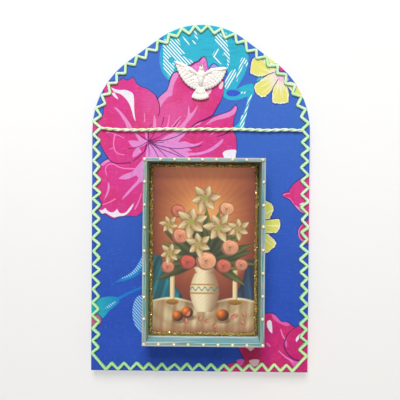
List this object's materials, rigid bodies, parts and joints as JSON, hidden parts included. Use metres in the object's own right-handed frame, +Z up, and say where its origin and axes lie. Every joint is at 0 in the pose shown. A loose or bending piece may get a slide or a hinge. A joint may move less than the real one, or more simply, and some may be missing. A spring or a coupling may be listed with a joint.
{
  "type": "devotional wall shrine",
  "caption": "Arch-topped wall plaque in printed cotton with zigzag edging, a cross cord, a shallow open box holding a picture card, and a moulded dove above it.",
  "frame": {"origin": "on the back face, which lies on the wall, at the middle of the line where the arch springs", "axes": "+Z up along the plaque's height, -Y out of the front, +X to the viewer's right as seen from the front"},
  "size_m": [0.1764, 0.0302, 0.2815],
  "materials": {
    "mdf": "raw sawn fibreboard",
    "cotton": "printed plain-weave cotton, matt",
    "lining_card": "brown card, matt",
    "steel": "zinc plated, satin",
    "lime_trim": "braided, matt",
    "lime_cord": "twisted, slightly glossy",
    "teal_paint": "brushed acrylic on fibreboard, satin",
    "printed_card": "glossy colour print",
    "glitter_glue": "clear glue with gold glitter",
    "gold_relief_paint": "metallic relief paint, satin",
    "ivory_resin": "cast resin painted ivory, beak gold",
    "glue": "set craft glue"
  },
  "bodies": {
    "root": {"back_board": "mdf", "cotton_cover": "cotton", "back_lining": "lining_card", "hanger_plate": "steel", "hanger_tack_left": "steel", "hanger_tack_right": "steel", "rickrack_trim": "lime_trim", "divider_cord": "lime_cord", "box_top_wall": "teal_paint", "box_bottom_wall": "teal_paint", "box_left_wall": "teal_paint", "box_right_wall": "teal_paint", "box_floor": "teal_paint", "picture_card": "printed_card", "glitter_bead": "glitter_glue", "dove": "ivory_resin", "dove_glue_pad": "glue", "paint_dot_top_1": "gold_relief_paint", "paint_dot_top_2": "gold_relief_paint", "paint_dot_top_3": "gold_relief_paint", "paint_dot_top_4": "gold_relief_paint", "paint_dot_top_5": "gold_relief_paint", "paint_dot_top_6": "gold_relief_paint", "paint_dot_top_7": "gold_relief_paint", "paint_dot_top_8": "gold_relief_paint", "paint_dot_top_9": "gold_relief_paint", "paint_dot_bottom_1": "gold_relief_paint", "paint_dot_bottom_2": "gold_relief_paint", "paint_dot_bottom_3": "gold_relief_paint", "paint_dot_bottom_4": "gold_relief_paint", "paint_dot_bottom_5": "gold_relief_paint", "paint_dot_bottom_6": "gold_relief_paint", "paint_dot_bottom_7": "gold_relief_paint", "paint_dot_bottom_8": "gold_relief_paint", "paint_dot_bottom_9": "gold_relief_paint", "paint_dot_left_1": "gold_relief_paint", "paint_dot_left_2": "gold_relief_paint", "paint_dot_left_3": "gold_relief_paint", "paint_dot_left_4": "gold_relief_paint", "paint_dot_left_5": "gold_relief_paint", "paint_dot_left_6": "gold_relief_paint", "paint_dot_left_7": "gold_relief_paint", "paint_dot_right_1": "gold_relief_paint", "paint_dot_right_2": "gold_relief_paint", "paint_dot_right_3": "gold_relief_paint", "paint_dot_right_4": "gold_relief_paint", "paint_dot_right_5": "gold_relief_paint", "paint_dot_right_6": "gold_relief_paint", "paint_dot_right_7": "gold_relief_paint"}
  },
  "joints": []
}
